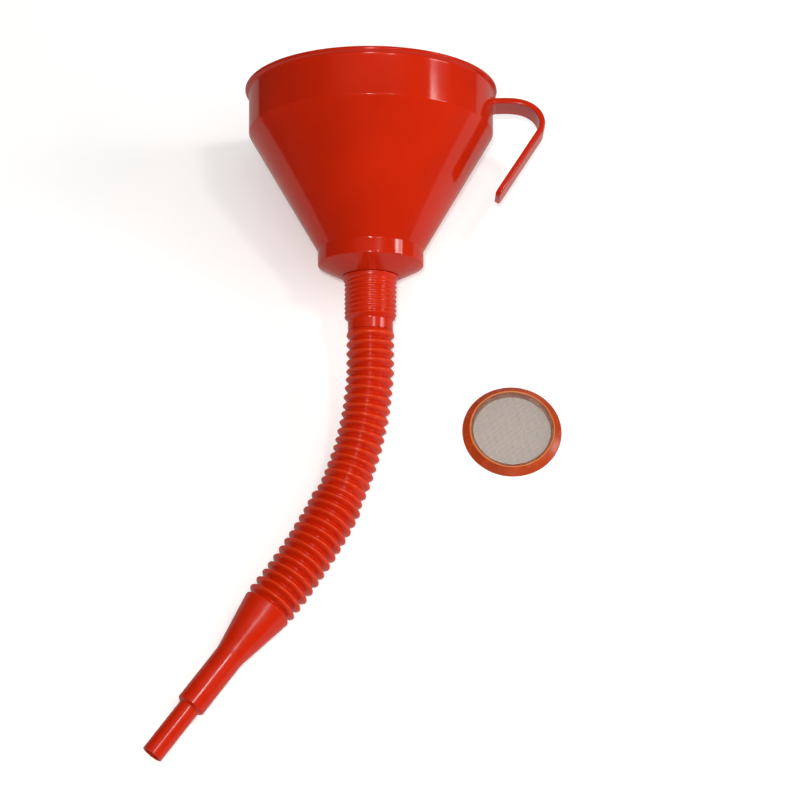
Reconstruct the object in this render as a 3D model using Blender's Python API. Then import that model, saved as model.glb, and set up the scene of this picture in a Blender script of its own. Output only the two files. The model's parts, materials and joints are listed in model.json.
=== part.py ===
# A hand funnel with a hook handle, a screw-on flexible spout and a lift-out strainer,
# lying on a table as it is put down after use. Metres, +Z up.
# The mouth faces +Y, the hook is on the +X side and the spout curves away to -X.
import bmesh
import bpy
from math import cos, pi, radians, sin, sqrt, tan
from mathutils import Vector

# Bowl. Depths are measured along the funnel's own axis, down from the mouth.
RIM_RADIUS = 0.0800
BEAD_RADIUS = 0.0022
BEAD_STAND = 0.0002
COLLAR_DEPTH = 0.0299
COLLAR_DRAFT = 0.0003
CONE_HEIGHT = 0.0764
CUP_RADIUS = 0.0331
CUP_HEIGHT = 0.0094
SHOULDER_INSET = 0.0035
SHOULDER_DROP = 0.0019
SHOULDER_FLOOR_DROP = 0.0054
SEAT_MARGIN = 0.0010
BOWL_WALL = 0.0016

# Spigot under the bowl, which the spout's collar fits over. Its end overlaps a ledge in the collar.
SPIGOT_LENGTH = 0.0220
SPIGOT_LEDGE = 0.0008

# Hook handle: a flat strap that leaves the collar, bends over and runs back beside the cone.
HOOK_DEPTH = 0.0096
HOOK_THICKNESS = 0.0026
HOOK_WIDTH = 0.0290
HOOK_REACH = 0.0187
HOOK_BEND_RADIUS = 0.0140
HOOK_LEAN = 32.3
HOOK_LEG = 0.0500
HOOK_TIP_CORNER = 0.0045
HOOK_ROOT_FLARE = 0.0022
HOOK_ROOT_STEPS = 4
HOOK_BEND_STEPS = 12
HOOK_TIP_STEPS = 5
HOOK_COLUMNS = 9

# Corrugated hose. It is cut at every second valley into short rings, one rigid piece each.
VALLEY_RADIUS = 0.0126
UPPER_PITCH = 0.00581
UPPER_CREST_DEPTH = 0.0023
UPPER_RINGS = 9
LOWER_PITCH = 0.00615
LOWER_CREST_DEPTH = 0.0036
LOWER_RINGS = 6
CREST_FLAT = 0.0012
SPOUT_WALL = 0.0012

# Spout collar above the hose: flared lip, thread ribs, plain band.
LIP_FLARE = 0.0018
LIP_HEIGHT = 0.0036
THREAD_WALL = 0.0014
THREAD_DEPTH = 0.0008
THREAD_PITCH = 0.0030
THREAD_TURNS = 8
BAND_STEP = 0.0014
BAND_HEIGHT = 0.0072

# Nozzle: tapered, then two straight steps.
NOZZLE_HEAD_INSET = 0.0008
NOZZLE_HEAD_GAP = 0.0019
TAPER_LENGTH = 0.0367
STEP_RADIUS = 0.0088
STEP_LENGTH = 0.0375
TIP_RADIUS = 0.0064
TIP_LENGTH = 0.0350
STEP_CHAMFER = 0.0008

# Strainer: a ring with a sloping face, and a gauze disc inside it.
STRAINER_HEIGHT = 0.0046
STRAINER_EDGE = 0.0008
STRAINER_SLOPE = 0.0045
STRAINER_LIP = 0.0012
STRAINER_LEDGE = 0.0015
GAUZE_HEIGHT = 0.0032
GAUZE_THICKNESS = 0.0004
STRAINER_OFFSET_X = 0.0888
STRAINER_OFFSET_Y = -0.2019

# How the spout lies: past the first joint, it turns towards -X over TURN_RUN and levels out over LEVEL_RUN.
TURN_ANGLE = 35.3
TURN_LEAD = 0.0111
TURN_RUN = 0.200
LEVEL_LEAD = 0.0411
LEVEL_RUN = 0.089
SIDE_BEND_LEFT = 7.0
SIDE_BEND_RIGHT = 15.0
LIFT_BEND = 8.0

FIT_GAP = 0.0003
BOWL_SIDES = 48
HOSE_SIDES = 24


# Sizes that follow from the ones above.
COLLAR_TOP_RADIUS = RIM_RADIUS - BEAD_RADIUS - BEAD_STAND
COLLAR_RADIUS = COLLAR_TOP_RADIUS - COLLAR_DRAFT
HOSE_BORE_RADIUS = VALLEY_RADIUS - SPOUT_WALL
UPPER_CREST_RADIUS = VALLEY_RADIUS + UPPER_CREST_DEPTH
LOWER_CREST_RADIUS = VALLEY_RADIUS + LOWER_CREST_DEPTH
NOZZLE_HEAD_RADIUS = LOWER_CREST_RADIUS - NOZZLE_HEAD_INSET
BAND_RADIUS = VALLEY_RADIUS + BAND_STEP
BAND_BORE_RADIUS = BAND_RADIUS - SPOUT_WALL
SPIGOT_RADIUS = BAND_BORE_RADIUS + SPIGOT_LEDGE
COLLAR_BORE_RADIUS = SPIGOT_RADIUS + FIT_GAP
THREAD_CREST_RADIUS = COLLAR_BORE_RADIUS + THREAD_WALL + THREAD_DEPTH
LIP_RADIUS = THREAD_CREST_RADIUS + LIP_FLARE
CONE_END = COLLAR_DEPTH + CONE_HEIGHT
CUP_END = CONE_END + CUP_HEIGHT
SEAT_DEPTH = CUP_END + SHOULDER_DROP + SHOULDER_FLOOR_DROP
SPIGOT_END = SEAT_DEPTH + SPIGOT_LENGTH
LIP_TOP = SEAT_DEPTH + FIT_GAP
THREAD_START = LIP_TOP + LIP_HEIGHT
THREAD_END = THREAD_START + THREAD_TURNS * THREAD_PITCH
BAND_END = THREAD_END + BAND_HEIGHT
FIRST_CREST = BAND_END + UPPER_PITCH / 2
FIRST_JOINT = FIRST_CREST + UPPER_PITCH / 2
STRAINER_FOOT_RADIUS = CUP_RADIUS - BOWL_WALL - FIT_GAP
STRAINER_WELL_RADIUS = STRAINER_FOOT_RADIUS - STRAINER_SLOPE - STRAINER_LIP
RING_COUNT = UPPER_RINGS + LOWER_RINGS


def ring_pitch(index):
    return UPPER_PITCH if index < UPPER_RINGS else LOWER_PITCH


def ring_crest(index):
    return UPPER_CREST_RADIUS if index < UPPER_RINGS else LOWER_CREST_RADIUS


def joint_depths():
    """Distance along the spout from the mouth to each joint, one at every second valley."""
    depths = [FIRST_JOINT]
    for index in range(RING_COUNT):
        depths.append(depths[-1] + 2 * ring_pitch(index))
    return depths


def heading_at(depth):
    """How far the spout has turned towards -X, in degrees."""
    share = min(max((depth - FIRST_JOINT - TURN_LEAD) / TURN_RUN, 0.0), 1.0)
    return TURN_ANGLE * sin(pi / 2 * share)


def descent_at(depth, tilt):
    """How steeply the spout still runs down to the table, in degrees."""
    share = min(max((depth - FIRST_JOINT - LEVEL_LEAD) / LEVEL_RUN, 0.0), 1.0)
    return tilt * (1 - share * share * (3 - 2 * share))


def direction(heading, descent):
    h = radians(heading)
    d = radians(descent)
    return Vector((-sin(h) * cos(d), -cos(h) * cos(d), -sin(d)))


def lay_spout(tilt):
    """(place, heading, descent) of each rigid piece past a joint. Even joints turn it, odd ones level it."""
    depths = joint_depths()
    place = mouth_centre(tilt) + direction(0, tilt) * depths[0]
    heading = 0.0
    descent = tilt
    laid = []
    for index, depth in enumerate(depths):
        last_turn = index >= RING_COUNT - 1
        reach = depth + 2 * ring_pitch(index)
        if index % 2 == 0:
            heading = TURN_ANGLE if last_turn else heading_at(reach)
        else:
            descent = 0.0 if index == RING_COUNT else descent_at(reach, tilt)
        laid.append((place, heading, descent))
        if index < RING_COUNT:
            place = place + direction(heading, descent) * 2 * ring_pitch(index)
    return laid


def mouth_centre(tilt):
    """Centre of the mouth when the collar's lower edge rests on the table."""
    t = radians(tilt)
    return Vector((0, 0, COLLAR_RADIUS * cos(t) + COLLAR_DEPTH * sin(t)))


def resting_tilt():
    """The tilt at which the end of the hose also touches the table."""
    low, high = 0.0, 60.0
    for _ in range(50):
        middle = (low + high) / 2
        if lay_spout(middle)[-1][0].z > LOWER_CREST_RADIUS:
            low = middle
        else:
            high = middle
    return (low + high) / 2


TILT = resting_tilt()


def joint_relief():
    """Half the gap at each joint: what the tightest fold needs at the edge of a ring's end face."""
    laid = [(None, 0.0, TILT)] + lay_spout(TILT)
    folds = []
    for before, after in zip(laid, laid[1:]):
        turned = after[1] - before[1]
        lifted = before[2] - after[2]
        if turned:
            folds += [abs(turned + SIDE_BEND_LEFT), abs(turned - SIDE_BEND_RIGHT)]
        if lifted:
            folds.append(abs(lifted + LIFT_BEND))
    return VALLEY_RADIUS * tan(radians(max(folds)) / 2) + FIT_GAP / 2


RELIEF = joint_relief()


def clear_scene():
    for old in list(bpy.data.objects):
        bpy.data.objects.remove(old, do_unlink=True)


def plastic(name, colour, roughness=0.35, metallic=0.0):
    material = bpy.data.materials.new(name)
    material.use_nodes = True
    shader = material.node_tree.nodes["Principled BSDF"]
    shader.inputs["Base Color"].default_value = (*colour, 1)
    shader.inputs["Roughness"].default_value = roughness
    shader.inputs["Metallic"].default_value = metallic
    return material


def add_object(name, mesh, material, parent):
    piece = bpy.data.objects.new(name, mesh)
    bpy.context.collection.objects.link(piece)
    mesh.materials.append(material)
    piece.parent = parent
    return piece


def arc(centre, radius, start, end, steps):
    """Points on an arc in the (radius, height) plane, angles in degrees."""
    turns = [radians(start + (end - start) * step / steps) for step in range(steps + 1)]
    return [(centre[0] + radius * cos(a), centre[1] + radius * sin(a)) for a in turns]


def inset(path, wall):
    """The path moved in by the wall, keeping each straight run parallel. The path runs down the outside."""
    normals = []
    for (r0, z0), (r1, z1) in zip(path, path[1:]):
        run = Vector((r1 - r0, z1 - z0)).normalized()
        normals.append(Vector((run.y, -run.x)))
    moved = []
    for index, point in enumerate(path):
        before = normals[max(index - 1, 0)]
        after = normals[min(index, len(normals) - 1)]
        shift = (before + after) * (wall / (1 + before.dot(after)))
        moved.append((point[0] + shift.x, point[1] + shift.y))
    return moved


def turned(name, profile, sides, material, parent):
    """A closed profile, down the outside and back up the bore, turned about local Z."""
    mesh = bpy.data.meshes.new(name)
    points = [(r, 0, z) for r, z in profile]
    edges = [(i, (i + 1) % len(points)) for i in range(len(points))]
    mesh.from_pydata(points, edges, [])
    piece = add_object(name, mesh, material, parent)
    screw = piece.modifiers.new("Turn", "SCREW")
    screw.axis = "Z"
    screw.angle = 2 * pi
    screw.steps = sides
    screw.render_steps = sides
    screw.use_merge_vertices = True
    screw.merge_threshold = 0.00001
    screw.use_smooth_shade = True
    return piece


def make_bowl(material, parent):
    """Bead, collar, cone, strainer cup, shoulder and spigot, moulded in one."""
    wall_line = [
        (COLLAR_TOP_RADIUS, 0),
        (COLLAR_RADIUS, -COLLAR_DEPTH),
        (CUP_RADIUS, -CONE_END),
        (CUP_RADIUS, -CUP_END),
        (CUP_RADIUS - SHOULDER_INSET, -CUP_END - SHOULDER_DROP),
        (LIP_RADIUS + SEAT_MARGIN, -SEAT_DEPTH),
        (SPIGOT_RADIUS, -SEAT_DEPTH),
        (SPIGOT_RADIUS, -SPIGOT_END),
    ]
    bead_centre = (RIM_RADIUS - BEAD_RADIUS, -BEAD_RADIUS)
    bead = arc(bead_centre, BEAD_RADIUS, 90, -90, 6)
    bead_foot = (COLLAR_TOP_RADIUS, -2 * BEAD_RADIUS)
    outside = bead + [bead_foot] + wall_line[1:]
    inside = inset(wall_line, BOWL_WALL)
    inside[0] = (inside[0][0], 0)
    return turned("bowl", outside + inside[::-1], BOWL_SIDES, material, parent)


def hook_line():
    """Sections along the strap's middle: (radius, height, tilt of its outer side, distance from the root)."""
    root = COLLAR_TOP_RADIUS + FIT_GAP
    level = -HOOK_DEPTH - HOOK_THICKNESS / 2
    bend = HOOK_BEND_RADIUS - HOOK_THICKNESS / 2
    centre = (COLLAR_TOP_RADIUS + HOOK_REACH, level - bend)
    sections = []
    for step in range(HOOK_ROOT_STEPS + 1):
        sections.append((root + step * HOOK_ROOT_FLARE / HOOK_ROOT_STEPS, level, 90))
    turn = 90 + HOOK_LEAN
    for step in range(HOOK_BEND_STEPS + 1):
        angle = 90 - turn * step / HOOK_BEND_STEPS
        point = arc(centre, bend, angle, angle, 1)[0]
        sections.append((*point, angle))
    start_r, start_z, angle = sections[-1]
    along = (-sin(radians(HOOK_LEAN)), -cos(radians(HOOK_LEAN)))
    for step in range(HOOK_TIP_STEPS + 1):
        reach = HOOK_LEG - HOOK_TIP_CORNER * (1 - sin(pi / 2 * step / HOOK_TIP_STEPS))
        sections.append((start_r + along[0] * reach, start_z + along[1] * reach, angle))
    return sections


def root_flare(index):
    """How far the strap widens and thickens where it meets the collar."""
    share = max(0.0, 1 - index / HOOK_ROOT_STEPS)
    return HOOK_ROOT_FLARE * (1 - sqrt(1 - share**2))


def hook_half_width(index, count):
    """Wider at the root, rounded at the free end."""
    step = max(0, index - (count - 1 - HOOK_TIP_STEPS))
    rounding = HOOK_TIP_CORNER * (1 - cos(pi / 2 * step / HOOK_TIP_STEPS))
    return HOOK_WIDTH / 2 + root_flare(index) - rounding


def make_hook(material, parent):
    """A flat strap of one thickness, with a flared foot that follows the collar's curve."""
    sections = hook_line()
    columns = HOOK_COLUMNS
    maker = bmesh.new()
    rows = []
    for index, (radius, height, angle) in enumerate(sections):
        half_width = hook_half_width(index, len(sections))
        half_thickness = HOOK_THICKNESS / 2 + root_flare(index)
        out = (cos(radians(angle)), sin(radians(angle)))
        row = []
        for side in (1, -1):
            for column in range(columns):
                y = half_width * (2 * column / (columns - 1) - 1)
                sag = radius - sqrt(radius**2 - y**2) if index < HOOK_ROOT_STEPS else 0
                x = radius - sag + out[0] * half_thickness * side
                z = height + out[1] * half_thickness * side
                row.append(maker.verts.new((x, y, z)))
        rows.append(row)
    outline = list(range(columns)) + list(range(2 * columns - 1, columns - 1, -1))
    for first, second in zip(rows, rows[1:]):
        for here, there in zip(outline, outline[1:] + outline[:1]):
            maker.faces.new((first[here], first[there], second[there], second[here]))
    for row in (rows[0], rows[-1]):
        for column in range(columns - 1):
            other = columns + column
            maker.faces.new((row[column], row[column + 1], row[other + 1], row[other]))
    bmesh.ops.recalc_face_normals(maker, faces=maker.faces)
    mesh = bpy.data.meshes.new("hook")
    maker.to_mesh(mesh)
    maker.free()
    return add_object("hook", mesh, material, parent)


def corrugation(centre, crest):
    """One crest, as the two corners of its flat."""
    return [(crest, centre + CREST_FLAT / 2), (crest, centre - CREST_FLAT / 2)]


def make_spout_collar(material, parent):
    """Lip, thread ribs, plain band and the hose's first corrugation, up to the first joint."""
    ribs = []
    for turn in range(THREAD_TURNS):
        top = -THREAD_START - turn * THREAD_PITCH
        ribs.append((THREAD_CREST_RADIUS - THREAD_DEPTH, top - THREAD_PITCH / 4))
        ribs.append((THREAD_CREST_RADIUS, top - THREAD_PITCH / 2))
        ribs.append((THREAD_CREST_RADIUS, top - THREAD_PITCH * 3 / 4))
    end = -FIRST_JOINT + RELIEF
    outside = [
        (LIP_RADIUS - LIP_HEIGHT / 4, -LIP_TOP),
        (LIP_RADIUS, -LIP_TOP - LIP_HEIGHT / 4),
        (LIP_RADIUS, -LIP_TOP - LIP_HEIGHT / 2),
        (THREAD_CREST_RADIUS, -THREAD_START),
        *ribs,
        (BAND_RADIUS, -THREAD_END - THREAD_DEPTH),
        (BAND_RADIUS, -BAND_END),
        *corrugation(-FIRST_CREST, UPPER_CREST_RADIUS),
        (VALLEY_RADIUS, end),
    ]
    ledge = -SPIGOT_END - SPOUT_WALL
    inside = [
        (HOSE_BORE_RADIUS, end),
        (BAND_BORE_RADIUS, -BAND_END),
        (BAND_BORE_RADIUS, ledge - SPOUT_WALL),
        (COLLAR_BORE_RADIUS, ledge),
        (COLLAR_BORE_RADIUS, -LIP_TOP),
    ]
    return turned("spout_collar", outside + inside, HOSE_SIDES, material, parent)


def make_ring(index, material, parent):
    """Two corrugations of the hose, with its origin on the joint above it."""
    pitch = ring_pitch(index)
    crest = ring_crest(index)
    profile = [
        (VALLEY_RADIUS, -RELIEF),
        *corrugation(-pitch / 2, crest),
        (VALLEY_RADIUS, -pitch),
        *corrugation(-pitch * 3 / 2, crest),
        (VALLEY_RADIUS, -2 * pitch + RELIEF),
        (HOSE_BORE_RADIUS, -2 * pitch + RELIEF),
        (HOSE_BORE_RADIUS, -RELIEF),
    ]
    name = f"hose_ring_{index + 1:02d}"
    return turned(name, profile, HOSE_SIDES, material, parent)


def make_nozzle(material, parent):
    """The hose's last corrugation and the stepped nozzle, with its origin on the joint above it."""
    head = -LOWER_PITCH - NOZZLE_HEAD_GAP
    taper_end = head - TAPER_LENGTH
    step_end = taper_end - STEP_LENGTH
    tip_top = step_end - 2 * STEP_CHAMFER
    tip_end = tip_top - TIP_LENGTH
    outside = [
        (VALLEY_RADIUS, -RELIEF),
        *corrugation(-LOWER_PITCH / 2, LOWER_CREST_RADIUS),
        (VALLEY_RADIUS, -LOWER_PITCH),
        (NOZZLE_HEAD_RADIUS, head),
        (STEP_RADIUS, taper_end),
        (STEP_RADIUS, step_end),
        (STEP_RADIUS - STEP_CHAMFER, step_end - STEP_CHAMFER),
        (TIP_RADIUS, tip_top),
        (TIP_RADIUS, tip_end),
    ]
    inside = [
        (TIP_RADIUS - SPOUT_WALL, tip_end),
        (TIP_RADIUS - SPOUT_WALL, step_end + SPOUT_WALL),
        (STEP_RADIUS - SPOUT_WALL, step_end + 2 * SPOUT_WALL),
        (STEP_RADIUS - SPOUT_WALL, taper_end),
        (NOZZLE_HEAD_RADIUS - SPOUT_WALL, head - SPOUT_WALL),
        (HOSE_BORE_RADIUS, -LOWER_PITCH),
        (HOSE_BORE_RADIUS, -RELIEF),
    ]
    return turned("nozzle", outside + inside, HOSE_SIDES, material, parent)


def make_strainer_ring(material, parent):
    """Sized to drop into the cup. It stands on its wide edge, gauze side up."""
    foot = STRAINER_FOOT_RADIUS
    well = STRAINER_WELL_RADIUS
    ledge = GAUZE_HEIGHT - FIT_GAP
    profile = [
        (well, STRAINER_HEIGHT),
        (well + STRAINER_LIP, STRAINER_HEIGHT),
        (well + STRAINER_LIP, STRAINER_HEIGHT - STRAINER_EDGE),
        (foot, STRAINER_EDGE),
        (foot, 0),
        (well - STRAINER_LEDGE, 0),
        (well - STRAINER_LEDGE, ledge),
        (well, ledge),
    ]
    return turned("strainer_ring", profile, BOWL_SIDES, material, parent)


def make_gauze(material, parent):
    maker = bmesh.new()
    bmesh.ops.create_cone(
        maker,
        cap_ends=True,
        segments=BOWL_SIDES,
        radius1=STRAINER_WELL_RADIUS - FIT_GAP,
        radius2=STRAINER_WELL_RADIUS - FIT_GAP,
        depth=GAUZE_THICKNESS,
    )
    mesh = bpy.data.meshes.new("strainer_gauze")
    maker.to_mesh(mesh)
    maker.free()
    piece = add_object("strainer_gauze", mesh, material, parent)
    piece.location.z = GAUZE_HEIGHT + GAUZE_THICKNESS / 2
    return piece


def lay_down(piece, place, heading, descent):
    """Local Z points back up towards the mouth, and the spout runs along local -Z."""
    piece.location = place
    piece.rotation_euler = (-radians(90 - descent), 0, -radians(heading))


def world_box(pieces):
    bpy.context.view_layer.update()
    graph = bpy.context.evaluated_depsgraph_get()
    corners = []
    for piece in pieces:
        solid = piece.evaluated_get(graph)
        mesh = solid.to_mesh()
        corners += [solid.matrix_world @ vertex.co for vertex in mesh.vertices]
        solid.to_mesh_clear()
    low = Vector(min(c[axis] for c in corners) for axis in range(3))
    high = Vector(max(c[axis] for c in corners) for axis in range(3))
    return low, high


def build():
    clear_scene()
    base = bpy.data.objects.new("table_point", None)
    bpy.context.collection.objects.link(base)
    moulded = plastic("Moulded polyethylene", (0.62, 0.03, 0.008))
    blown = plastic("Blown polyethylene", (0.58, 0.035, 0.01), 0.4)
    orange = plastic("Strainer polyethylene", (0.56, 0.09, 0.03), 0.4)
    wire = plastic("Steel gauze", (0.5, 0.42, 0.34), 0.5, 0.6)

    bowl_frame = bpy.data.objects.new("bowl_frame", None)
    bpy.context.collection.objects.link(bowl_frame)
    bowl_frame.parent = base
    lay_down(bowl_frame, mouth_centre(TILT), 0, TILT)
    pieces = [make_bowl(moulded, bowl_frame), make_hook(moulded, bowl_frame)]

    collar = make_spout_collar(blown, base)
    lay_down(collar, mouth_centre(TILT), 0, TILT)
    pieces.append(collar)

    laid = lay_spout(TILT)
    for index in range(RING_COUNT):
        ring = make_ring(index, blown, base)
        lay_down(ring, *laid[index])
        pieces.append(ring)
    nozzle = make_nozzle(blown, base)
    lay_down(nozzle, *laid[RING_COUNT])
    pieces.append(nozzle)

    strainer = bpy.data.objects.new("strainer_frame", None)
    bpy.context.collection.objects.link(strainer)
    strainer.parent = base
    strainer.location = (STRAINER_OFFSET_X, STRAINER_OFFSET_Y, 0)
    pieces += [make_strainer_ring(orange, strainer), make_gauze(wire, strainer)]

    # The origin goes under the middle of the whole set, on the table.
    low, high = world_box(pieces)
    base.location = (-(low.x + high.x) / 2, -(low.y + high.y) / 2, -low.z)
    bpy.context.view_layer.update()


build()
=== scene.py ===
# Funnel with a hook handle, a screw-on flexible spout and a lift-out strainer: the looks.
# Outlines are in millimetres, along each piece's own axis; everything placed in the scene is in metres.
import json
from math import ceil, cos, pi, radians, sin, sqrt, tan

import bmesh
import bpy
import numpy as np
from mathutils import Matrix, Vector

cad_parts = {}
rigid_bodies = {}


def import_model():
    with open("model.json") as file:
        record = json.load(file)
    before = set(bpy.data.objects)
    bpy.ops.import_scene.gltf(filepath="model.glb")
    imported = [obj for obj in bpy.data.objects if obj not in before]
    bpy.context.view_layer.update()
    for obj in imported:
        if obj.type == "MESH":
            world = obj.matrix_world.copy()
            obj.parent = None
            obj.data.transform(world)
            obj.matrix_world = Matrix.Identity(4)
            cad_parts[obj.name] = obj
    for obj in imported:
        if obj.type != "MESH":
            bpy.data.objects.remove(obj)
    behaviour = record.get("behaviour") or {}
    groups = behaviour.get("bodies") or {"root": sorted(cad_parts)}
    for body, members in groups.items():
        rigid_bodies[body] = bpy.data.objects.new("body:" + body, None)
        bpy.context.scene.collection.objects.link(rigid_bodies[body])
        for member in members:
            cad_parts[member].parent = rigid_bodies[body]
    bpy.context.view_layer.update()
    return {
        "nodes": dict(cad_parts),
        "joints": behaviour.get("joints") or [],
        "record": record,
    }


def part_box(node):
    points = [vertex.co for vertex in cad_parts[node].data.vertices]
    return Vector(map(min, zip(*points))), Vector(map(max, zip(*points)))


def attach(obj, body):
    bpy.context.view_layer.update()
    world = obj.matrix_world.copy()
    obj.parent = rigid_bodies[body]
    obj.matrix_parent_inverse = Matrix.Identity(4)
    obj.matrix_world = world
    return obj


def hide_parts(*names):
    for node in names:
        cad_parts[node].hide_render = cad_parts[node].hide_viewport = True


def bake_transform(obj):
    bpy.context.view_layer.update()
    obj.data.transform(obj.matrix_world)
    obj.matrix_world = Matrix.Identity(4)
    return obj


for old in list(bpy.data.objects):
    bpy.data.objects.remove(old, do_unlink=True)

mm = 0.001
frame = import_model()
record = frame["record"]
print("frame loaded:", len(frame["nodes"]), "nodes")


joints = {joint["name"]: joint for joint in frame["joints"]}
mounts = {mount["name"]: mount for mount in record["mounts"]}


def nodeCentre(name):
    low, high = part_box(name)
    return (low + high) / 2


def hoseChain():
    # the hinges in order from the collar to the nozzle, each with the two bodies it joins
    chain = []
    body = "spout_collar"
    while True:
        found = [j for j in frame["joints"] if j["parent"] == body and j["type"] == "hinge"]
        if not found:
            return chain
        chain.append(found[0])
        body = found[0]["child"]


bowlAxis = Vector(joints["bowl_unscrew"]["axis"]).normalized()  # points out of the mouth
mouthCentre = Vector(mounts["mouth_rim"]["pos_m"])
mouthCentre.x = nodeCentre("spout_collar").x
nozzleAxis = Vector(mounts["spout_tip"]["axis"]).normalized()  # points out of the tip
tipCentre = Vector(mounts["spout_tip"]["pos_m"])
hinges = hoseChain()
hingePoints = [Vector(hinge["pos_m"]) for hinge in hinges]


def axisFrame(origin, upward):
    # local Z along upward, local X level
    side = Vector((1, 0, 0)) if abs(upward.z) > 0.99 else Vector((0, 0, -1)).cross(upward).normalized()
    front = upward.cross(side)
    turn = Matrix((side, front, upward)).transposed().to_4x4()
    return Matrix.Translation(origin) @ turn


bowlPlace = axisFrame(mouthCentre, bowlAxis)


def rounded(corners, step=4.0, support=0.12, turn=9.0):
    # (radius, height, fillet) corners to a dense line: arcs at the fillets, support points beside them
    line = []
    last = len(corners) - 1
    for index, (r, z, fillet) in enumerate(corners):
        here = Vector((r, z))
        if not fillet or index in (0, last):
            line.append(here)
            continue
        before = (Vector(corners[index - 1][:2]) - here).normalized()
        after = (Vector(corners[index + 1][:2]) - here).normalized()
        half = before.angle(after) / 2
        centre = here + (before + after).normalized() * (fillet / sin(half))
        arm = here + before * (fillet / tan(half)) - centre
        sweep = pi - 2 * half
        steps = max(3, ceil(sweep / radians(turn)))
        sense = 1 if before.x * after.y - before.y * after.x < 0 else -1
        for count in range(steps + 1):
            angle = sense * sweep * count / steps
            spun = Vector((arm.x * cos(angle) - arm.y * sin(angle), arm.x * sin(angle) + arm.y * cos(angle)))
            line.append(centre + spun)
    dense = [line[0]]
    for start, end in zip(line, line[1:]):
        length = (end - start).length
        if length > 6 * support:
            inner = max(1, ceil((length - 2 * support) / step))
            for count in range(inner + 1):
                reach = support + (length - 2 * support) * count / inner
                dense.append(start.lerp(end, reach / length))
        dense.append(end)
    return [(point.x, point.y) for point in dense]


def moved(corners, wall):
    # the corners of the line a wall's thickness inside this one, with the fillets kept concentric
    normals = []
    for (r0, z0, _), (r1, z1, _) in zip(corners, corners[1:]):
        run = Vector((r1 - r0, z1 - z0)).normalized()
        normals.append(Vector((run.y, -run.x)))
    shifted = []
    for index, (r, z, fillet) in enumerate(corners):
        before = normals[max(index - 1, 0)]
        after = normals[min(index, len(normals) - 1)]
        shift = (before + after) * (wall / (1 + before.dot(after)))
        bend = before.x * after.y - before.y * after.x
        inner = fillet + (wall if bend > 0 else -wall) if fillet else 0
        shifted.append((r + shift.x, z + shift.y, max(inner, 0.4) if fillet else 0))
    return shifted


def finishMesh(name, points, faces, sharp=38, thinning_and_painted_highlight=None):
    # the last argument is a 0-to-1 mask of where the materials paint a lighter highlight colour on crests
    # and lips
    mesh = bpy.data.meshes.new(name)
    mesh.from_pydata([tuple(p) for p in points], [], [tuple(int(v) for v in f) for f in faces])
    if thinning_and_painted_highlight is not None:
        highlightMask = mesh.attributes.new("thinning_and_painted_highlight", "FLOAT", "POINT")
        highlightMask.data.foreach_set("value", np.ascontiguousarray(thinning_and_painted_highlight, dtype=np.float32).ravel())
    mesh.validate()
    mesh.shade_smooth()
    mesh.set_sharp_from_angle(angle=radians(sharp))
    piece = bpy.data.objects.new(name, mesh)
    bpy.context.collection.objects.link(piece)
    return piece


def gridFaces(rows, columns):
    # quads of a grid that closes on itself both ways
    row, column = np.meshgrid(np.arange(rows), np.arange(columns), indexing="ij")
    nextRow = (row + 1) % rows
    nextColumn = (column + 1) % columns
    here = row * columns
    there = nextRow * columns
    quads = [here + column, here + nextColumn, there + nextColumn, there + column]
    return np.stack(quads, -1).reshape(-1, 4)


def outward(points, faces):
    # flips the faces if they enclose a negative volume
    a, b, c, d = (points[faces[:, k]] for k in range(4))
    volume = (a * np.cross(b, c)).sum() + (a * np.cross(c, d)).sum()
    return faces if volume > 0 else faces[:, ::-1]


def turnedSolid(name, outline, place, sides=192, relief=None, thinning_and_painted_highlight=None):
    # a closed outline turned about local Z; relief(radius, height, angle) adds to the radius,
    # and the last function, of (radius, height, angle), marks where a lighter highlight colour is painted
    line = np.array(outline)
    angle = np.arange(sides) * 2 * pi / sides
    radius = np.repeat(line[:, :1], sides, 1)
    height = np.repeat(line[:, 1:], sides, 1)
    highlightMask = thinning_and_painted_highlight(radius, height, angle[None, :]) if thinning_and_painted_highlight else None
    if relief:
        radius = radius + relief(radius, height, angle[None, :])
    points = np.stack([radius * np.cos(angle), radius * np.sin(angle), height], -1).reshape(-1, 3)
    faces = outward(points, gridFaces(len(line), sides))
    points = points * mm @ np.array(place.to_3x3()).T + np.array(place.translation)
    return finishMesh(name, points, faces, 38, highlightMask)


def smooth(x):
    x = np.clip(x, 0, 1)
    return x * x * (3 - 2 * x)


def linear(code):
    # "#rrggbb" in sRGB to linear light
    shades = [int(code[k : k + 2], 16) / 255 for k in (1, 3, 5)]
    return tuple(s / 12.92 if s <= 0.04045 else ((s + 0.055) / 1.055) ** 2.4 for s in shades)


def addNode(tree, kind, settings=None, links=None):
    # settings are sockets or properties by name; links are socket name -> output socket
    node = tree.nodes.new(kind)
    for key, value in (settings or {}).items():
        if key in node.inputs.keys():
            node.inputs[key].default_value = value
        else:
            setattr(node, key, value)
    for key, output in (links or {}).items():
        tree.links.new(output, node.inputs[key])
    return node


def perMetre(sizeInMm):
    return 1 / (sizeInMm * mm)


def startMaterial(name):
    material = bpy.data.materials.new(name)
    material.use_nodes = True
    tree = material.node_tree
    shader = tree.nodes["Principled BSDF"]
    coords = addNode(tree, "ShaderNodeTexCoord").outputs["Object"]
    return material, tree, shader, coords


def noise(tree, coords, sizeInMm, detail=2.0):
    settings = {"Scale": perMetre(sizeInMm), "Detail": detail}
    return addNode(tree, "ShaderNodeTexNoise", settings, {"Vector": coords}).outputs["Fac"]


def spread(tree, value, low=0.0, high=1.0):
    # noise keeps mostly to its middle, so that part of it is stretched to low..high
    settings = {"From Min": 0.3, "From Max": 0.7, "To Min": low, "To Max": high}
    return addNode(tree, "ShaderNodeMapRange", settings, {"Value": value}).outputs["Result"]


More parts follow.
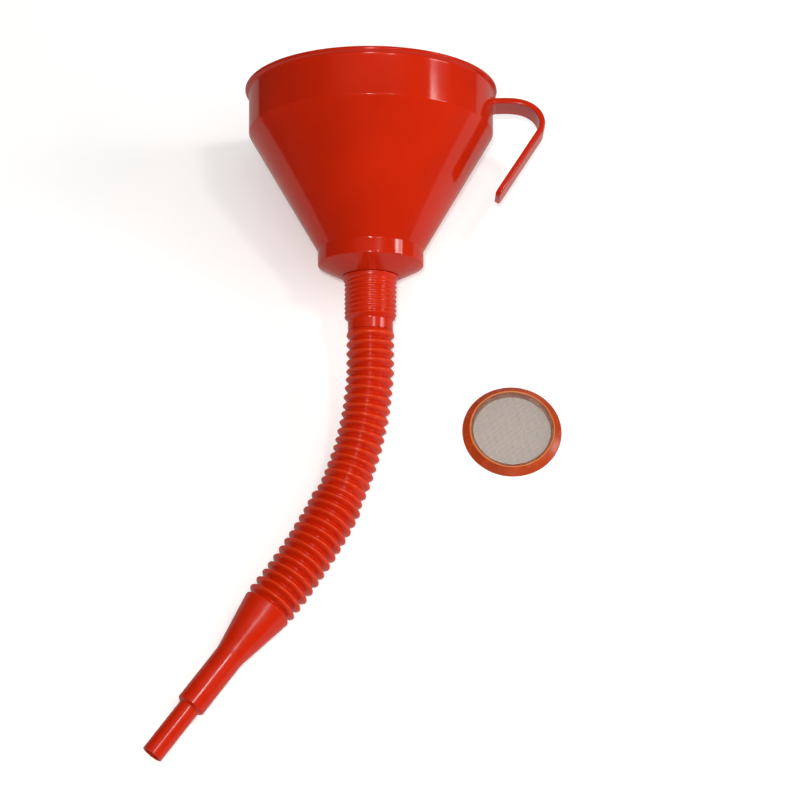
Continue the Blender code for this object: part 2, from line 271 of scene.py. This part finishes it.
def mixed(tree, factor, first, second):
    # first and second are hex colours or colour outputs
    node = addNode(tree, "ShaderNodeMix", {"data_type": "RGBA"}, {"Factor": factor})
    for socket, colour in ((node.inputs[6], first), (node.inputs[7], second)):
        if isinstance(colour, str):
            socket.default_value = (*linear(colour), 1)
        else:
            tree.links.new(colour, socket)
    return node.outputs[2]


def bump(tree, height, depthInMm, under=None):
    links = {"Height": height}
    if under:
        links["Normal"] = under
    settings = {"Strength": 1.0, "Distance": depthInMm * mm}
    return addNode(tree, "ShaderNodeBump", settings, links).outputs["Normal"]


def polyethylene(name, look):
    # solid-coloured PE: waxy gloss, colour that clouds slightly where the melt flowed, faint tooling texture
    material, tree, shader, coords = startMaterial(name)
    cloud = spread(tree, noise(tree, coords, look["cloudSize"], 3.0))
    colour = mixed(tree, cloud, look["colour"], look["cloudColour"])
    # painted highlight: a lighter colour painted over the base where the mask is set
    if "paintedHighlightColour" in look:
        highlightMask = addNode(tree, "ShaderNodeAttribute", {"attribute_name": "thinning_and_painted_highlight"})
        colour = mixed(tree, highlightMask.outputs["Fac"], colour, look["paintedHighlightColour"])
    tree.links.new(colour, shader.inputs["Base Color"])
    haze = noise(tree, coords, look["hazeSize"], 4.0)
    tree.links.new(spread(tree, haze, *look["roughness"]), shader.inputs["Roughness"])
    grain = bump(tree, noise(tree, coords, look["grainSize"]), look["grainDepth"])
    ripple = bump(tree, noise(tree, coords, look["rippleSize"], 1.0), look["rippleDepth"], grain)
    tree.links.new(ripple, shader.inputs["Normal"])
    shader.inputs["IOR"].default_value = 1.51  # polyethylene
    shader.inputs["Metallic"].default_value = 0.0
    return material


mouldedLook = {
    "colour": "#b82106",
    "cloudColour": "#ad1e05",
    "cloudSize": 45,  # flow clouds in the melt, mm
    "roughness": (0.09, 0.15),  # off a polished mould
    "hazeSize": 18,
    "grainSize": 0.5,
    "grainDepth": 0.002,
    "rippleSize": 24,  # sink and shrinkage waves of the thin wall
    "rippleDepth": 0.06,
}
blownLook = {
    "colour": "#bf2104",
    "cloudColour": "#b41e03",
    "paintedHighlightColour": "#ca320d",  # painted highlight: a lighter orange painted along the crests, standing in for their gloss lines and the light glowing through them
    "cloudSize": 22,
    "roughness": (0.16, 0.26),  # cooled against a sand-blasted mould, so its lights are softer
    "hazeSize": 9,
    "grainSize": 0.45,
    "grainDepth": 0.006,
    "rippleSize": 14,
    "rippleDepth": 0.05,
}
strainerLook = {
    "colour": "#ac3f18",
    "cloudColour": "#9a3413",
    "paintedHighlightColour": "#d07a3c",  # painted highlight: a light orange line painted on the lip round the gauze
    "cloudSize": 9,
    "roughness": (0.18, 0.3),
    "hazeSize": 6,
    "grainSize": 0.6,
    "grainDepth": 0.008,
    "rippleSize": 8,
    "rippleDepth": 0.1,
}
mouldedPlastic = polyethylene("Moulded polyethylene, polished", mouldedLook)
blownPlastic = polyethylene("Blow-moulded polyethylene", blownLook)
strainerPlastic = polyethylene("Strainer polyethylene, welded", strainerLook)

gauzeLook = {
    "colour": "#ccb9a4",
    "dark": "#a99781",
    "patchSize": 4.0,
    "facetSize": 0.9,  # drawn wire is finer; these are as coarse as it takes to show its glints
    "facetDepth": 0.4,
    "roughness": 0.24,
    "metallic": 0.75,
}


def wovenWire(name, look):
    # fine drawn steel wire: greyish beige, patchy where it was handled, with bright glints
    material, tree, shader, coords = startMaterial(name)
    patch = noise(tree, coords, look["patchSize"], 3.0)
    tree.links.new(mixed(tree, patch, look["colour"], look["dark"]), shader.inputs["Base Color"])
    facet = bump(tree, noise(tree, coords, look["facetSize"]), look["facetDepth"])
    tree.links.new(facet, shader.inputs["Normal"])
    shader.inputs["Metallic"].default_value = look["metallic"]
    shader.inputs["Roughness"].default_value = look["roughness"]
    return material


gauzeWire = wovenWire("Woven steel wire, drawn", gauzeLook)
print("materials made")


def dress(piece, material, slotName, *replaced):
    piece.data.materials.append(material)
    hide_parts(*replaced)
    return piece


bowlShape = {
    "rimRadius": 80.0,
    "beadRadius": 1.6,
    "beadDrop": 2.1,
    "beadFoot": 3.7,
    "beadBlend": 1.7,
    "collarTop": 77.6,
    "collarFoot": 77.3,
    "collarDepth": 29.9,
    "coneHeight": 76.4,
    "cupRadius": 33.1,
    "cupHeight": 9.4,
    "shoulderInset": 3.5,
    "shoulderDrop": 1.9,
    "floorDrop": 5.4,
    "floorRadius": 18.9,
    "wall": 1.6,
    "spigotRadius": 13.6,
    "spigotLength": 22.0,
    "collarFillet": 1.2,
    "edgeFillet": 0.9,
    "shoulderFillet": 6.0,  # the shoulder swells out between the cup and its floor
    "floorFillet": 0.4,
    "spigotFillet": 0.5,
}
threadShape = {"pitch": 3.0, "depth": 0.8, "turns": 8, "start": 0.85, "clearance": 0.12, "row": 0.2}


def threadWave(height, angle, sharpness):
    # 1 on the crest of a right-hand thread and 0 in its groove
    share = (height + threadShape["start"]) / threadShape["pitch"] - angle / (2 * pi)
    return ((1 + np.cos(2 * pi * share)) / 2) ** sharpness


bowlDepth = bowlShape["collarDepth"] + bowlShape["coneHeight"]
cupDepth = bowlDepth + bowlShape["cupHeight"]
seatDepth = cupDepth + bowlShape["shoulderDrop"] + bowlShape["floorDrop"]
spigotDepth = seatDepth + bowlShape["spigotLength"]


def makeBowl():
    s = bowlShape
    fillet = s["edgeFillet"]
    wallLine = [
        (s["collarTop"], 0, 0),
        (s["collarFoot"], -s["collarDepth"], s["collarFillet"]),
        (s["cupRadius"], -bowlDepth, fillet),
        (s["cupRadius"], -cupDepth, fillet),
        (s["cupRadius"] - s["shoulderInset"], -cupDepth - s["shoulderDrop"], s["shoulderFillet"]),
        (s["floorRadius"], -seatDepth, s["floorFillet"]),
        (s["spigotRadius"], -seatDepth, s["spigotFillet"]),
        (s["spigotRadius"], -spigotDepth, 0),
    ]
    bead = s["beadRadius"]
    rim = s["rimRadius"]
    inner = s["collarTop"] - s["wall"]
    outside = [
        (inner + 0.2, 0, 0),
        (rim, 0, bead),
        (rim, -s["beadDrop"], 0.8 * bead),
        (s["collarTop"], -s["beadFoot"], s["beadBlend"]),
    ] + wallLine[1:-1]
    outside.append((s["spigotRadius"], -spigotDepth, s["spigotFillet"]))
    inside = moved(wallLine, s["wall"])
    inside[0] = (inner, -0.2, 0)
    tail = inside[-1]
    inside[-1] = (tail[0], -spigotDepth, 0.4)
    outline = rounded(outside + inside[::-1])
    spigotSkin = s["spigotRadius"] - 0.3  # anything wider than this is its outer side

    def thread(radius, height, angle):
        # the spigot's own thread stands a little inside the sleeve's
        zone = smooth((-height - seatDepth - 2.0) / 1.5) * smooth((spigotDepth - 1.5 + height) / 2.5)
        ridge = (threadShape["depth"] - threadShape["clearance"]) * threadWave(height, angle, 1.6)
        return np.where(radius > spigotSkin, zone * ridge, 0) * (height < -seatDepth)

    # rows close enough together on the spigot to carry the thread
    dense = [outline[0]]
    for start, end in zip(outline, outline[1:]):
        onSpigot = max(start[1], end[1]) < -seatDepth and min(start[0], end[0]) > spigotSkin
        steps = ceil(abs(end[1] - start[1]) / threadShape["row"]) if onSpigot else 1
        for count in range(1, steps + 1):
            share = count / steps
            dense.append((start[0] + (end[0] - start[0]) * share, start[1] + (end[1] - start[1]) * share))
    return turnedSolid("bowl_shell", dense, bowlPlace, 288, thread)


bowl = dress(makeBowl(), mouldedPlastic, "bowl_plastic", "bowl")
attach(bowl, "bowl")
print("bowl made")


hookShape = {
    "depth": 8.8,
    "thickness": 3.6,
    "width": 22.0,
    "rise": 2.8,  # the strap first climbs a little towards the mouth
    "lean": 32.95,
    "bendLength": 43.7,
    "bendGrowth": 2.28,
    "leg": 50.5,
    "tipCorner": 5.0,
    "rootFillet": 2.4,
    "rootDepth": 1.1,
    "rootFollow": 6.0,  # how far out the strap still follows the collar's curve
    "edge": 0.9,
}


hookRows = {"bend": 120, "leg": 12, "tip": 18, "corner": 6, "face": 16}


def hookLine():
    # (distance out, height, angle of the outer side, thickening) from inside the collar to the free end
    s = hookShape
    wall = bowlShape["collarTop"]
    x = wall - s["rootDepth"]
    z = -s["depth"] - s["thickness"] / 2
    heading = -s["rise"]
    line = [(x, z, 90 - heading, s["rootFillet"])]
    steps = hookRows["bend"]
    length = s["bendLength"] / steps
    x = wall - length
    for count in range(steps):
        # the bend tightens steadily from the collar to the leg
        heading = (90 + s["lean"] + s["rise"]) * ((count + 0.5) / steps) ** s["bendGrowth"] - s["rise"]
        x += length * cos(radians(heading))
        z -= length * sin(radians(heading))
        left = 1 - min(1.0, (count * length) / s["rootFillet"])
        swell = s["rootFillet"] * (1 - sqrt(1 - left**2))
        line.append((x, z, 90 - heading, swell))
    x, z, angle, _ = line[-1]
    run = (-sin(radians(s["lean"])), -cos(radians(s["lean"])))
    straight = s["leg"] - s["tipCorner"]
    legRows = hookRows["leg"]
    tipRows = hookRows["tip"]
    reaches = [straight * count / legRows for count in range(1, legRows + 1)]
    reaches += [straight + s["tipCorner"] * sin(pi / 2 * count / tipRows) for count in range(1, tipRows + 1)]
    return line + [(x + run[0] * reach, z + run[1] * reach, -s["lean"], 0) for reach in reaches]


def strapSection(halfWidth, halfThickness, edge):
    # a rounded rectangle as (across, outward) points, evenly shared between its sides and corners
    edge = min(edge, halfThickness * 0.98, halfWidth * 0.98)
    points = []
    for sideX, sideY, first in ((1, 1, 0), (-1, 1, 90), (-1, -1, 180), (1, -1, 270)):
        x = sideX * (halfWidth - edge)
        y = sideY * (halfThickness - edge)
        for count in range(hookRows["corner"] + 1):
            angle = radians(first + 90 * count / hookRows["corner"])
            points.append((x + edge * cos(angle), y + edge * sin(angle)))
        if first in (0, 180):  # along the wide faces
            across = x * (1 - 2 * np.arange(1, hookRows["face"]) / hookRows["face"])
            points += [(place, sideY * halfThickness) for place in across]
    return points


def makeHook():
    s = hookShape
    wall = bowlShape["collarTop"]
    line = hookLine()
    rows = []
    tipRows = hookRows["tip"]
    tipStart = len(line) - tipRows
    for index, (x, z, angle, swell) in enumerate(line):
        turn = pi / 2 * max(0, index - tipStart + 1) / tipRows
        left = s["tipCorner"] * (1 - sin(turn))
        half = s["width"] / 2 - s["tipCorner"] * (1 - cos(turn)) + swell
        edge = s["thickness"] / 2
        thinning_and_painted_highlight = edge - sqrt(edge**2 - (edge - left) ** 2) if left < edge else 0
        thick = edge + swell - 0.85 * thinning_and_painted_highlight
        out = (cos(radians(angle)), sin(radians(angle)))
        follow = float(1 - smooth((x - wall) / s["rootFollow"])) if index < tipStart // 2 else 0.0
        row = []
        for across, up in strapSection(half, max(thick, 0.15), s["edge"]):
            sag = (wall - sqrt(wall**2 - across**2)) * follow
            row.append((x - sag + out[0] * up, across, z + out[1] * up))
        rows.append(row)
    points = np.array(rows)
    count, columns = points.shape[:2]
    faces = gridFaces(count, columns)[: (count - 1) * columns]
    flat = points.reshape(-1, 3) * mm @ np.array(bowlPlace.to_3x3()).T + np.array(bowlPlace.translation)
    root = list(range(columns))
    tip = list(range((count - 1) * columns, count * columns))
    return finishMesh("hook_strap", flat, [list(f) for f in faces] + [root[::-1], tip], 50)


hook = makeHook()
shell = bmesh.new()
shell.from_mesh(hook.data)
bmesh.ops.recalc_face_normals(shell, faces=shell.faces)
shell.to_mesh(hook.data)
shell.free()
dress(hook, mouldedPlastic, "bowl_plastic", "hook")
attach(hook, "bowl")
print("hook made")


sleeveShape = {
    "gap": 0.06,
    "lipRadius": 17.7,
    "lipHeight": 3.6,
    "bodyRadius": 15.3,
    "boreRadius": 13.9,
    "ribDepth": 0.8,
    "bandRadius": 14.0,
    "bandHeight": 7.2,
    "wall": 1.2,
}
hoseShape = {
    "valley": 12.6,
    "upperDepth": 2.3,
    "lowerDepth": 3.6,
    "lowerFrom": 9,
    "wall": 1.2,
    "crestRound": 0.28,
    "valleyRound": 0.14,
    "rows": 24,
    "sides": 96,
}


def makeSleeve():
    s = sleeveShape
    lipTop = seatDepth + s["gap"]
    threadTop = lipTop + s["lipHeight"]
    threadEnd = threadTop + threadShape["turns"] * threadShape["pitch"]
    bandEnd = threadEnd + s["bandHeight"]
    bandBore = s["bandRadius"] - s["wall"]
    outside = rounded([
        (s["lipRadius"] - 0.9, -lipTop, 0),
        (s["lipRadius"], -lipTop - 0.1, 0.4),
        (s["lipRadius"] - 0.3, -lipTop - 1.0, 0.5),
        (s["bodyRadius"] + 0.2, -threadTop, 2.0),
        (s["bodyRadius"] + 0.1, -threadEnd + 0.9, 0.8),
        (s["bandRadius"], -threadEnd - 0.9, 1.2),
        (s["bandRadius"], -bandEnd, 0),
    ], step=0.2)
    inside = rounded([
        (bandBore, -bandEnd, 0),
        (bandBore, -spigotDepth - s["wall"] * 2, 0.4),
        (s["boreRadius"], -spigotDepth - s["wall"], 0.3),
        (s["boreRadius"], -lipTop - 0.8, 0),
        (s["boreRadius"] + 0.8, -lipTop, 0),
    ], step=0.25)

    def ribs(radius, height, angle):
        wave = threadWave(height, angle, 1.3)
        depth = -height
        outer = smooth((depth - threadTop + 2.4) / 1.6) * smooth((threadEnd + 0.2 - depth) / 1.4)
        inner = smooth((depth - lipTop - 1.0) / 1.5) * smooth((spigotDepth - depth) / 1.0)
        isOuter = radius > 14.6
        return s["ribDepth"] * wave * np.where(isOuter, outer, inner)

    # painted highlight: a lighter orange painted along the rib crests
    def crests(radius, height, angle):
        return 0.6 * (ribs(radius, height, angle) / s["ribDepth"]) ** 2

    return turnedSolid("spout_sleeve", outside + inside, bowlPlace, 192, ribs, crests)


sleeve = dress(makeSleeve(), blownPlastic, "spout_plastic", "spout_collar")
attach(sleeve, "spout_collar")
print("sleeve made")


def crestShape(share):
    # one corrugation: a straight-sided ridge with a rounded crest, and a tighter rounded valley
    s = hoseShape
    away = np.sqrt((2 * share - 1) ** 2 + s["crestRound"] ** 2) - s["crestRound"]
    rise = 1 - away / (sqrt(1 + s["crestRound"] ** 2) - s["crestRound"])
    lift = np.sqrt(rise**2 + s["valleyRound"] ** 2) - s["valleyRound"]
    return lift / (sqrt(1 + s["valleyRound"] ** 2) - s["valleyRound"])


def frameAcross(tangent):
    side = tangent.cross(Vector((0, 0, 1))).normalized()
    return side, side.cross(tangent)


def hosePart(index):
    # from the valley in the middle of one ring to the valley in the middle of the next, round one hinge
    s = hoseShape
    hinge = hingePoints[index]
    if index:
        before = (hingePoints[index - 1] + hinge) / 2
    else:
        before = hinge + bowlAxis * ((hingePoints[1] - hinge).length / 2)
    if index < len(hingePoints) - 1:
        after = (hingePoints[index + 1] + hinge) / 2
    else:
        after = hinge + nozzleAxis * ((hinge - hingePoints[index - 1]).length / 2)
    depths = [s["lowerDepth"] if ring > s["lowerFrom"] else s["upperDepth"] for ring in (index, index + 1)]
    spread = np.linspace(0, 1, s["rows"] + 1)
    eased = np.concatenate([[0, 0.01], spread[1:-1], [0.99, 1]])
    samples = [(0.5 * t, depths[0], t) for t in eased] + [(0.5 + 0.5 * t, depths[1], t) for t in eased[1:]]
    outer = []
    inner = []
    lift = []
    angle = np.arange(s["sides"]) * 2 * pi / s["sides"]
    for t, depth, share in samples:
        centre = before * (1 - t) ** 2 + hinge * 2 * t * (1 - t) + after * t**2
        tangent = ((hinge - before) * (1 - t) + (after - hinge) * t).normalized()
        side, up = frameAcross(tangent)
        crest = float(crestShape(share))
        radius = s["valley"] + depth * crest
        if index == 0 and t < 0.25:  # the plain band runs straight into the first crest
            band = sleeveShape["bandRadius"]
            radius = band + (s["valley"] + depth - band) * crest
        ring = np.outer(np.cos(angle), side) + np.outer(np.sin(angle), up)
        outer.append(np.array(centre) + ring * radius * mm)
        inner.append(np.array(centre) + ring * (radius - s["wall"]) * mm)
        # painted highlight: the crests are marked for a lighter orange to be painted on them
        lift.append(crest**3)
    grid = np.array(outer + inner[::-1])
    thinning_and_painted_highlight = np.repeat(np.array(lift + lift[::-1])[:, None], s["sides"], 1)
    points = grid.reshape(-1, 3)
    faces = outward(points - points.mean(0), gridFaces(grid.shape[0], grid.shape[1]))
    piece = finishMesh(f"hose_bend_{index + 1:02d}", points, faces, 60, thinning_and_painted_highlight)
    return piece, before, after


for index, hinge in enumerate(hinges):
    piece, before, after = hosePart(index)
    replaced = [hinge["child"]] if hinge["child"] != "nozzle" else []
    piece.data.materials.append(blownPlastic)
    if replaced:
        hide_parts(*replaced)
    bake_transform(piece)
print("hose made:", len(hinges), "bends")


nozzleShape = {
    "headRadius": 15.4,
    "headGap": 1.9,
    "taperLength": 36.7,
    "stepRadius": 8.8,
    "stepLength": 37.5,
    "chamfer": 0.8,
    "tipRadius": 6.4,
    "tipLength": 35.0,
    "wall": 1.2,
    "blend": 26.0,
}


def makeNozzle():
    s = nozzleShape
    pitch = (hingePoints[-1] - hingePoints[-2]).length / 2
    place = axisFrame(hingePoints[-1] + nozzleAxis * pitch, -nozzleAxis)
    head = -s["headGap"]
    taperEnd = head - s["taperLength"]
    stepEnd = taperEnd - s["stepLength"]
    tipTop = stepEnd - 2 * s["chamfer"]
    tipEnd = tipTop - s["tipLength"]
    wall = s["wall"]
    outside = rounded([
        (hoseShape["valley"], 0, 0),
        (hoseShape["valley"] + 0.4, -0.5, 0.3),
        (s["headRadius"] - 0.3, head + 0.2, 0.3),
        (s["headRadius"], head - 0.4, 0.4),
        (s["stepRadius"], taperEnd, s["blend"]),
        (s["stepRadius"], stepEnd, 0.35),
        (s["stepRadius"] - s["chamfer"], stepEnd - s["chamfer"], 0.3),
        (s["tipRadius"] + 0.25, tipTop + 0.1, 0.3),
        (s["tipRadius"] + 0.2, tipTop - 0.5, 0.2),
        (s["tipRadius"], tipTop - 0.8, 0.3),
        (s["tipRadius"], tipEnd, 0.25),
        (s["tipRadius"] - wall, tipEnd, 0.25),
        (s["tipRadius"] - wall, stepEnd, 0.8),
        (s["stepRadius"] - wall, stepEnd + 1.6 * wall, 0.8),
        (s["stepRadius"] - wall, taperEnd, s["blend"]),
        (s["headRadius"] - wall, head - 1.0, 0.5),
        (hoseShape["valley"] - wall, 0, 0),
    ], step=3.0)
    return turnedSolid("spout_nozzle", outside, place, 144)


nozzle = dress(makeNozzle(), blownPlastic, "spout_plastic", "nozzle")
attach(nozzle, "nozzle")
print("nozzle made")


strainerShape = {
    "footRadius": 31.2,
    "edge": 0.8,
    "lipOuter": 27.0,
    "lipInner": 25.9,
    "height": 4.6,
    "gauzeHeight": 4.3,
    "ledge": 24.4,
    "gauzeRadius": 25.8,
    "pitch": 0.72,
    "wire": 0.28,
}
strainerLow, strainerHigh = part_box("strainer_ring")
strainerMiddle = (strainerLow + strainerHigh) / 2
strainerPlace = Matrix.Translation((strainerMiddle.x, strainerMiddle.y, strainerLow.z))


def makeStrainerRim():
    s = strainerShape
    outline = rounded([
        (s["ledge"], 0, 0),
        (s["ledge"], s["gauzeHeight"] - 0.35, 0.2),
        (s["lipInner"], s["gauzeHeight"] - 0.35, 0),
        (s["lipInner"], s["height"] - 0.1, 0.35),
        (s["lipOuter"] - 0.2, s["height"], 0.45),
        (s["lipOuter"], s["height"] - 0.9, 0.35),
        (s["footRadius"], s["edge"], 0.5),
        (s["footRadius"], 0, 0.25),
        (s["ledge"] + 1, 0, 0),
    ], step=0.8)

    def weld(radius, height, angle):
        # the inner lip was melted over the gauze, more on one side
        wander = 0.10 * np.sin(3 * angle + 0.6) + 0.07 * np.sin(7 * angle + 2.0) + 0.05 * np.sin(13 * angle)
        slump = -0.5 * np.exp(-(((angle - radians(232)) / radians(20)) ** 2))
        near = (radius < s["lipInner"] + 0.8) & (height > s["gauzeHeight"] - 0.3)
        return np.where(near, wander + slump, 0)

    # painted highlight: marks the lip's rounded top, where a light orange line is painted
    def lip(radius, height, angle):
        return smooth((s["lipOuter"] - radius) / 0.6) * smooth((height - s["height"] + 0.6) / 0.4)

    return turnedSolid("strainer_rim", outline, strainerPlace, 192, weld, lip)


def makeGauze():
    # plain weave of round wires: each passes over one crossing wire and under the next
    s = strainerShape
    perSide = int(s["gauzeRadius"] / s["pitch"])
    lift = s["wire"] / 2 * 0.92
    points = []
    faces = []
    around = 4
    for direction in (0, 1):
        for wire in range(-perSide, perSide + 1):
            offset = wire * s["pitch"]
            reach = sqrt(max(0.0, (s["gauzeRadius"] + 0.15) ** 2 - offset**2))
            steps = int(reach / (s["pitch"] / 2))
            if steps < 2:
                continue
            base = len(points)
            for count in range(-steps, steps + 1):
                along = count * s["pitch"] / 2
                sense = 1 if (wire + direction) % 2 else -1
                height = s["gauzeHeight"] + sense * lift * cos(pi * along / s["pitch"])
                for corner in range(around):
                    a = pi / 4 + 2 * pi * corner / around
                    across = offset + s["wire"] / 2 * cos(a)
                    up = height + s["wire"] / 2 * sin(a)
                    points.append((along, across, up) if direction == 0 else (across, along, up))
            rows = 2 * steps + 1
            for row in range(rows - 1):
                for corner in range(around):
                    a0 = base + row * around + corner
                    a1 = base + row * around + (corner + 1) % around
                    quad = (a0, a0 + around, a1 + around, a1)
                    faces.append(quad if direction == 0 else quad[::-1])
            end = base + (rows - 1) * around
            first = tuple(base + corner for corner in range(around))
            last = tuple(end + corner for corner in range(around))
            faces.append(first if direction == 0 else first[::-1])
            faces.append(last[::-1] if direction == 0 else last)
    turn = Matrix.Rotation(radians(9), 4, "Z")
    place = strainerPlace @ turn
    placed = np.array(points) * mm @ np.array(place.to_3x3()).T + np.array(place.translation)
    return finishMesh("gauze_cloth", placed, faces, 80)


rim = dress(makeStrainerRim(), strainerPlastic, "strainer_plastic", "strainer_ring")
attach(rim, "strainer")
gauze = dress(makeGauze(), gauzeWire, "gauze_wire", "strainer_gauze")
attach(gauze, "strainer")
print("strainer made:", len(gauze.data.polygons), "gauze faces")


def addStageMesh(name, corners, material):
    mesh = bpy.data.meshes.new(name)
    mesh.from_pydata(corners, [], [tuple(range(len(corners)))])
    mesh.materials.append(material)
    sheet = bpy.data.objects.new(name, mesh)
    bpy.context.collection.objects.link(sheet)
    return sheet


def rectangle(left, right, near, far):
    return [(left, near, 0), (right, near, 0), (right, far, 0), (left, far, 0)]


floorPaint, _, floorShader, _ = startMaterial("Pale studio floor")
floorShader.inputs["Base Color"].default_value = (*linear("#f4f3f1"), 1)
floorShader.inputs["Roughness"].default_value = 0.9
floorShader.inputs["Emission Color"].default_value = (*linear("#ffffff"), 1)
floorShader.inputs["Emission Strength"].default_value = 0.18  # lifts the floor to an even white
floor = addStageMesh("floor", rectangle(-4, 4, -4, 4), floorPaint)
floor.visible_glossy = False

# the sheet of paper the set lies on, as its gloss sees it: dimmer than the floor looks
sheetPaint, _, sheetShader, _ = startMaterial("Paper under the set")
sheetShader.inputs["Base Color"].default_value = (*linear("#000000"), 1)
sheetShader.inputs["Emission Color"].default_value = (*linear("#ffe4dc"), 1)
sheetShader.inputs["Emission Strength"].default_value = 0.46
sheet = addStageMesh("paper", rectangle(-0.225, 0.355, -1, 1), sheetPaint)
sheet.location.z = 0.0002
sheet.visible_camera = False
sheet.visible_diffuse = False
sheet.visible_shadow = False


def areaLight(name, direction, distance, size, power, shift=(0, 0), target=(0, 0, 0.03)):
    # shift moves the panel sideways and up in its own plane
    lamp = bpy.data.lights.new(name, "AREA")
    lamp.shape = "RECTANGLE"
    lamp.size = size[0]
    lamp.size_y = size[1]
    lamp.energy = power
    light = bpy.data.objects.new(name, lamp)
    bpy.context.collection.objects.link(light)
    toward = Vector(direction).normalized()
    turn = toward.to_track_quat("Z", "Y")
    light.location = Vector(target) + toward * distance + turn @ Vector((*shift, 0))
    light.rotation_euler = turn.to_euler()
    return light


cameraShape = {"lens": 99.05, "elevation": 62.68, "distance": 1.394, "aside": 0.018427, "below": 0.17936}
elevation = radians(cameraShape["elevation"])
towardCamera = Vector((0, -cos(elevation), sin(elevation)))
aim = Vector((mouthCentre.x + cameraShape["aside"], mouthCentre.y - cameraShape["below"], 0))

for fill in (
    areaLight("overhead_fill", (0, -0.2, 1), 2.2, (2.6, 2.6), 34),
    areaLight("side_fill", (0.85, -0.1, 0.5), 1.8, (1.0, 1.0), 19),
):
    fill.visible_glossy = False  # broad bounced light, with nothing for the gloss to mirror
areaLight("flash", towardCamera + Vector((0.0, 0.03, 0.02)), 1.5, (0.032, 0.032), 8.0)
lampTarget = tipCentre - nozzleAxis * 0.055
areaLight("ceiling_lamp", (0.352, 0.032, 0.9355), 2.0, (0.16, 0.16), 4.2, target=lampTarget)

# the window: a bright upper pane, a dimmer lower one and a thin line of light at its sill
windowShape = {"direction": (0.8705, 0.1105, 0.4785), "distance": 2.0, "width": 0.62}
windowParts = (  # name, its foot and top on the window, its glow in watts a square metre
    ("pane_upper", 0.05, 0.275, 34),
    ("pane_lower", -0.23, 0.05, 13),
    ("sill", -0.275, -0.23, 34),
)
for name, low, high, glow in windowParts:
    size = (windowShape["width"], high - low)
    power = glow * size[0] * size[1]
    middle = (0, (low + high) / 2)
    pane = areaLight(name, windowShape["direction"], windowShape["distance"], size, power, middle)
    pane.visible_diffuse = False  # its light is in side_fill already

world = bpy.data.worlds.new("Dim room")
bpy.context.scene.world = world
world.use_nodes = True
background = world.node_tree.nodes["Background"]
background.inputs["Color"].default_value = (*linear("#bcb7b3"), 1)
background.inputs["Strength"].default_value = 0.06

cameraData = bpy.data.cameras.new("camera")
cameraData.lens = cameraShape["lens"]
cameraData.sensor_width = 36
camera = bpy.data.objects.new("camera", cameraData)
bpy.context.collection.objects.link(camera)
camera.location = aim + towardCamera * cameraShape["distance"]
camera.rotation_euler = (pi / 2 - elevation, 0, 0)
bpy.context.scene.camera = camera
bpy.context.scene.view_settings.view_transform = "Standard"
print("stage made")
